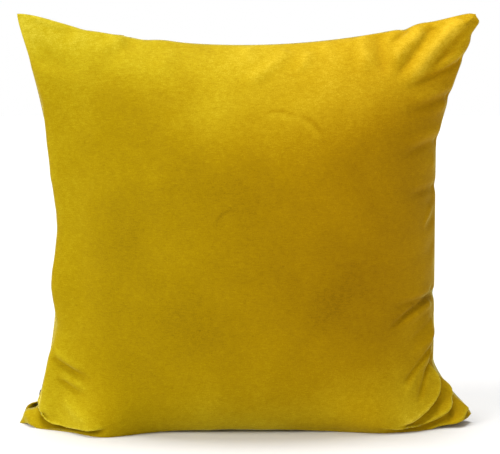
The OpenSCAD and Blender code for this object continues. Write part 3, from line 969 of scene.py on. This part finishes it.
# A panel: which way it faces, what shapes it, its pile marks and painted light, and the seed of its
# puckers
Panel = namedtuple("Panel", "label side pushes edge_pushes folds swells strokes seed")
PANELS = (
    Panel("front", -1, PUSHES_FRONT, PUSHES_EDGE, FOLDS_FRONT, SWELLS_FRONT, PILE_MARKS_AND_PAINTED_LIGHT, 3),
    Panel("back", 1, PUSHES_BACK, [], FOLDS_BACK, SWELLS_BACK, [], 8),
)
LINES = fine_steps()


def cloth_moves():
    """How far the blown-up cloth moves each panel's grid."""
    coarse, back, front = inflate()
    return {"back": finer(back, coarse, LINES), "front": finer(front, coarse, LINES)}


def smooth_face(panel, move, u, v, b, a):
    """A panel's face before its folds: filled, pushed, and parted at the zip."""
    face = grid(LINES)[2] + move
    face[..., 1] *= THICK / 2 / face[..., 1].max()
    face = push_all(face, b, a, panel.pushes, True)
    face[..., 1] += opening(u, v)
    face = push_all(face, b, a, PUSHES_SEAM, False)
    return push_all(face, b, a, panel.edge_pushes, False)


def build_cover():
    """Both panels; returns their faces before and after the folds."""
    u, v = np.meshgrid(LINES, LINES, indexing="ij")
    b, a = (1 + u) * HALF_SPAN, (1 + v) * HALF_SPAN
    seam = seam_distance(b, a) <= 0
    moves = cloth_moves()
    smooth, dressed = {}, {}
    for panel in PANELS:
        before = smooth_face(panel, moves[panel.label], u, v, b, a)
        face, relief = dress(before, b, a, panel.folds, panel.swells, panel.seed)
        face[seam] = before[seam]
        face[..., 2] = np.maximum(face[..., 2], 0)
        smooth[panel.label], dressed[panel.label] = before, face
        piece = panel_sheet(f"velvet_{panel.label}", face, LINES, panel.side, [VELVET])
        # Stores painted shade and painted highlights, with the pile's marks, as a point attribute
        store(piece, "marks_and_painted_light", pile_tone_and_painted_light(relief, b, a, panel.strokes))
        # Stores the painted warm shade as a point attribute
        store(piece, "warm_shade", painted_warm_shade(b, a))
        place_piece(piece)
        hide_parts(f"cover_{panel.label}")
    return smooth, dressed


# ---- insert, filling and label ----

INSERT_FINE = 90
INSERT_T = 0.5
# The insert's seam runs inside the cover's, further in at the corners
INSET = 13.0
CORNER_BACK = 0.06
# The room between the insert and the cover, with more of it under the cover's folds
INSERT_GAP = 1.6
FOLD_ROOM = 3.0
# How far from its seam the insert follows its own outline rather than the cover's face
SEAM_BLEND = 14.0
# How much higher the insert's bottom stands at its seam, and how far from the seam
# that ends
NOTCH_H = 11.5
NOTCH_W = 12.0
# The least half thickness of the insert inside its seam, and its room above the floor
LEAST_T = 0.5
FLOOR_ROOM = 0.5


def sample(p, at_u, at_v):
    """Points of a cover face between its grid lines."""
    x = np.interp(at_u, LINES, np.arange(len(LINES)))
    y = np.interp(at_v, LINES, np.arange(len(LINES)))
    i = np.minimum(x.astype(int), len(LINES) - 2)
    j = np.minimum(y.astype(int), len(LINES) - 2)
    s, t = (x - i)[..., None], (y - j)[..., None]
    return mix(mix(p[i, j], p[i + 1, j], s), mix(p[i, j + 1], p[i + 1, j + 1], s), t)


def stuffed(face, u, v, depth):
    """The face of a half of the insert, a depth inside its outer one."""
    k = (1 - (INSET + depth) / HALF_SPAN) * (1 - CORNER_BACK * (u * v) ** 2)
    rim = (np.abs(u) >= 1) | (np.abs(v) >= 1)
    sewn = plan(u * k, v * k)
    p = sample(face, u * k, v * k)
    edge = seam_distance((1 + u) * HALF_SPAN, (1 + v) * HALF_SPAN)
    inner = 1 - np.exp(-((edge / SEAM_BLEND) ** 2))
    x = mix(sewn[..., 0], p[..., 0], inner)
    z = mix(sewn[..., 1], p[..., 2], inner)
    round_off = np.sqrt(1 - u**8) * np.sqrt(1 - v**8)
    room = CLOTH_T + INSERT_GAP + FOLD_ROOM * inner + depth
    y = SEAM_GAP + round_off * np.maximum(p[..., 1] - room, LEAST_T)
    y = np.where(rim, SEAM_GAP, y)
    low = CLOTH_T + FLOOR_ROOM + depth + NOTCH_H * np.maximum(0, 1 - y / NOTCH_W)
    return np.stack([x, y, np.maximum(z, low)], -1)


def shell(name, outer, inner, n, side, mat):
    """A closed piece between two grids that share the order of their rim."""
    i, j = rim_cells(n)
    size = (n + 1) ** 2
    points = np.concatenate([outer.reshape(-1, 3), inner.reshape(-1, 3)]) * [1, side, 1]
    faces = grid_faces(n, 0, side > 0) + grid_faces(n, size, side < 0)
    rim = i * (n + 1) + j
    return new_object(name, points, faces + band(rim, rim + size, side), [mat])


def insert_grid():
    steps = np.linspace(-1, 1, INSERT_FINE + 1)
    return np.meshgrid(steps, steps, indexing="ij")


def build_insert(smooth):
    at_u, at_v = insert_grid()
    for label, side in (("front", -1), ("back", 1)):
        outer = stuffed(smooth[label], at_u, at_v, 0)
        inner = stuffed(smooth[label], at_u, at_v, INSERT_T)
        piece = shell(f"cotton_{label}", outer, inner, INSERT_FINE, side, COTTON)
        place_piece(piece)
        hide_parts(f"insert_{label}")


# The filling's gap to the insert, and half the depth of its lumps
FIBRE_GAP = 0.4
LUMP = 0.5


def build_filling(smooth):
    """The fibre inside the insert, with a lumpy face."""
    at_u, at_v = insert_grid()
    halves = []
    for label in ("back", "front"):
        p = stuffed(smooth[label], at_u, at_v, INSERT_T + FIBRE_GAP)
        lumps = np.sin(p[..., 0] / 5.1 + 2 * np.sin(p[..., 2] / 7.3)) * np.sin(p[..., 2] / 4.3)
        p[..., 1] -= LUMP * (1 + lumps) * (1 - at_u**8) * (1 - at_v**8)
        halves.append(p)
    front = halves[1] * [1, -1, 1]
    piece = shell("fibre", halves[0], front, INSERT_FINE, 1, FIBRE)
    place_piece(piece)
    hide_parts("filling")


# Where the label lies, as distances from the left seam and from the bottom one
LABEL_B = (2 * HALF_SPAN - 40, 2 * HALF_SPAN - 4.5)
LABEL_A = (136.0, 168.0)
LABEL_T = 0.3
LABEL_FINE = 24
# Its room under the cover, and how deep and wide the waves of its free end are
LABEL_ROOM = 0.5
LABEL_WAVE = 0.8
LABEL_WAVE_W = 6.0


def build_label(smooth):
    """A blank satin label, sewn in the right seam, between cover and insert."""
    n = LABEL_FINE
    across, up = np.linspace(*LABEL_B, n + 1), np.linspace(*LABEL_A, n + 1)
    at_b, at_a = np.meshgrid(across, up, indexing="ij")
    face = sample(smooth["back"], at_b / HALF_SPAN - 1, at_a / HALF_SPAN - 1)
    out = normals(face)
    free = (LABEL_B[1] - at_b) / (LABEL_B[1] - LABEL_B[0])
    wave = (1 - np.cos((at_a - LABEL_A[0]) / LABEL_WAVE_W)) / 2
    under = CLOTH_T + LABEL_ROOM + LABEL_WAVE * free * wave
    top = face - under[..., None] * out
    piece = shell("label", top, top - LABEL_T * out, n, 1, SATIN)
    place_piece(piece)
    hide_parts("care_label")


# ---- topstitching beside the zip ----

STITCH_LEN = 2.6
STITCH_W = 0.55
STITCH_PITCH = 4.0
STITCH_RINGS = 8
STITCH_SIDES = 6
# How far a stitch stands out of the cloth, and how far its ends dip
STITCH_RISE = 0.12
STITCH_DIP = 0.18
# How far the row is from the panel's edge, where it starts, and how long it is
STITCH_B = 2.4
FIRST_STITCH = EAR_LEN + EAR_TO_ZIP - 6
STITCHED = 300.0


def stitch_points(p, d, out):
    """Rings of points: one plump stitch that dips into the cloth at its ends."""
    wide = np.cross(out, d)
    points = []
    for k in range(STITCH_RINGS):
        t = k / (STITCH_RINGS - 1)
        size = STITCH_W / 2 * max(0.25, math.sin(math.pi * t)) ** 0.5
        rise = STITCH_RISE - STITCH_DIP * (2 * t - 1) ** 2
        centre = p + (t - 0.5) * STITCH_LEN * d + rise * out
        for m in range(STITCH_SIDES):
            turn = math.tau * m / STITCH_SIDES
            points.append(centre + size * (math.cos(turn) * wide + 0.7 * math.sin(turn) * out))
    return points


def stitch_faces(start):
    n = STITCH_SIDES
    last = start + n * (STITCH_RINGS - 1)
    faces = [[start + m for m in reversed(range(n))], [last + m for m in range(n)]]
    for k in range(STITCH_RINGS - 1):
        for m in range(n):
            a, b = start + n * k + m, start + n * k + (m + 1) % n
            faces.append([a, b, b + n, a + n])
    return faces


def build_topstitches(dressed):
    along = np.arange(FIRST_STITCH, FIRST_STITCH + STITCHED, STITCH_PITCH) / LEFT_LEN * 2 - 1
    at = np.full(along.shape, STITCH_B / HALF_SPAN - 1)
    for label, side in (("front", -1), ("back", 1)):
        face = dressed[label]
        p = sample(face, at, along)
        d = unit(sample(face, at, along + 0.004) - sample(face, at, along - 0.004))
        across = unit(sample(face, at + 0.004, along) - sample(face, at - 0.004, along))
        out = unit(np.cross(d, across))
        points, faces = [], []
        for one, way, up in zip(p, d, out):
            faces += stitch_faces(len(points))
            points += stitch_points(one, way, up)
        points = np.array(points) * [1, side, 1]
        piece = new_object(f"stitches_{label}", points, faces, [COVER_THREAD])
        place_piece(piece)
        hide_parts(f"zip_topstitch_{label}")


smooth, dressed = build_cover()
build_insert(smooth)
build_filling(smooth)
build_label(smooth)
build_topstitches(dressed)

# ---- floor, light and camera ----

FLOOR_HALF = 6.0
FLOOR_COLOUR = (0.74, 0.74, 0.74)
WORLD_LIGHT = 0.35
WHITE = (1, 1, 1, 1)
# The camera, in metres: what it aims at, how far off and how high it stands, and the
# width that it sees there
AIM = Vector((0.0024, 0, 0.188))
DISTANCE = 1.6
LIFT = math.radians(6.5)
ACROSS = 0.472
SENSOR = 36


def build_stage():
    mesh = bpy.data.meshes.new("floor")
    s = FLOOR_HALF
    mesh.from_pydata([(-s, -s, 0), (s, -s, 0), (s, s, 0), (-s, s, 0)], [], [(0, 1, 2, 3)])
    floor = bpy.data.objects.new("floor", mesh)
    bpy.context.scene.collection.objects.link(floor)
    mesh.materials.append(material("floor", FLOOR_COLOUR, 0.8))


def soft_light(name, place, spread, strength, colour=(1, 1, 1)):
    """A wide, far light that shines from a place towards the origin."""
    data = bpy.data.lights.new(name, "SUN")
    data.angle = math.radians(spread)
    data.energy = strength
    data.color = colour
    obj = bpy.data.objects.new(name, data)
    obj.location = place
    obj.rotation_euler = (-Vector(place)).to_track_quat("-Z", "Y").to_euler()
    bpy.context.scene.collection.objects.link(obj)


def build_light():
    """A plain world that looks white to the camera, and three soft lights."""
    world = bpy.data.worlds.new("studio")
    world.use_nodes = True
    tree = world.node_tree
    light = tree.nodes["Background"]
    light.inputs["Color"].default_value = WHITE
    light.inputs["Strength"].default_value = WORLD_LIGHT
    backdrop = tree.nodes.new("ShaderNodeBackground")
    backdrop.inputs["Color"].default_value = WHITE
    rays = tree.nodes.new("ShaderNodeLightPath")
    both = tree.nodes.new("ShaderNodeMixShader")
    tree.links.new(rays.outputs["Is Camera Ray"], both.inputs[0])
    tree.links.new(light.outputs[0], both.inputs[1])
    tree.links.new(backdrop.outputs[0], both.inputs[2])
    tree.links.new(both.outputs[0], tree.nodes["World Output"].inputs["Surface"])
    bpy.context.scene.world = world
    soft_light("key", (-1.5, -0.9, 1.2), 35, 2.1, (1, 0.98, 0.95))
    soft_light("top", (-0.1, 0.2, 2.0), 28, 2.8)
    soft_light("front", (0.2, -2.4, 0.5), 60, 0.7)


def build_camera():
    data = bpy.data.cameras.new("camera")
    data.sensor_width = SENSOR
    data.lens = SENSOR * DISTANCE / ACROSS
    cam = bpy.data.objects.new("camera", data)
    cam.location = AIM + DISTANCE * Vector((0, -math.cos(LIFT), math.sin(LIFT)))
    cam.rotation_euler = (AIM - cam.location).to_track_quat("-Z", "Y").to_euler()
    bpy.context.scene.collection.objects.link(cam)
    bpy.context.scene.camera = cam


build_stage()
build_light()
build_camera()
bpy.context.scene.view_settings.view_transform = "Standard"
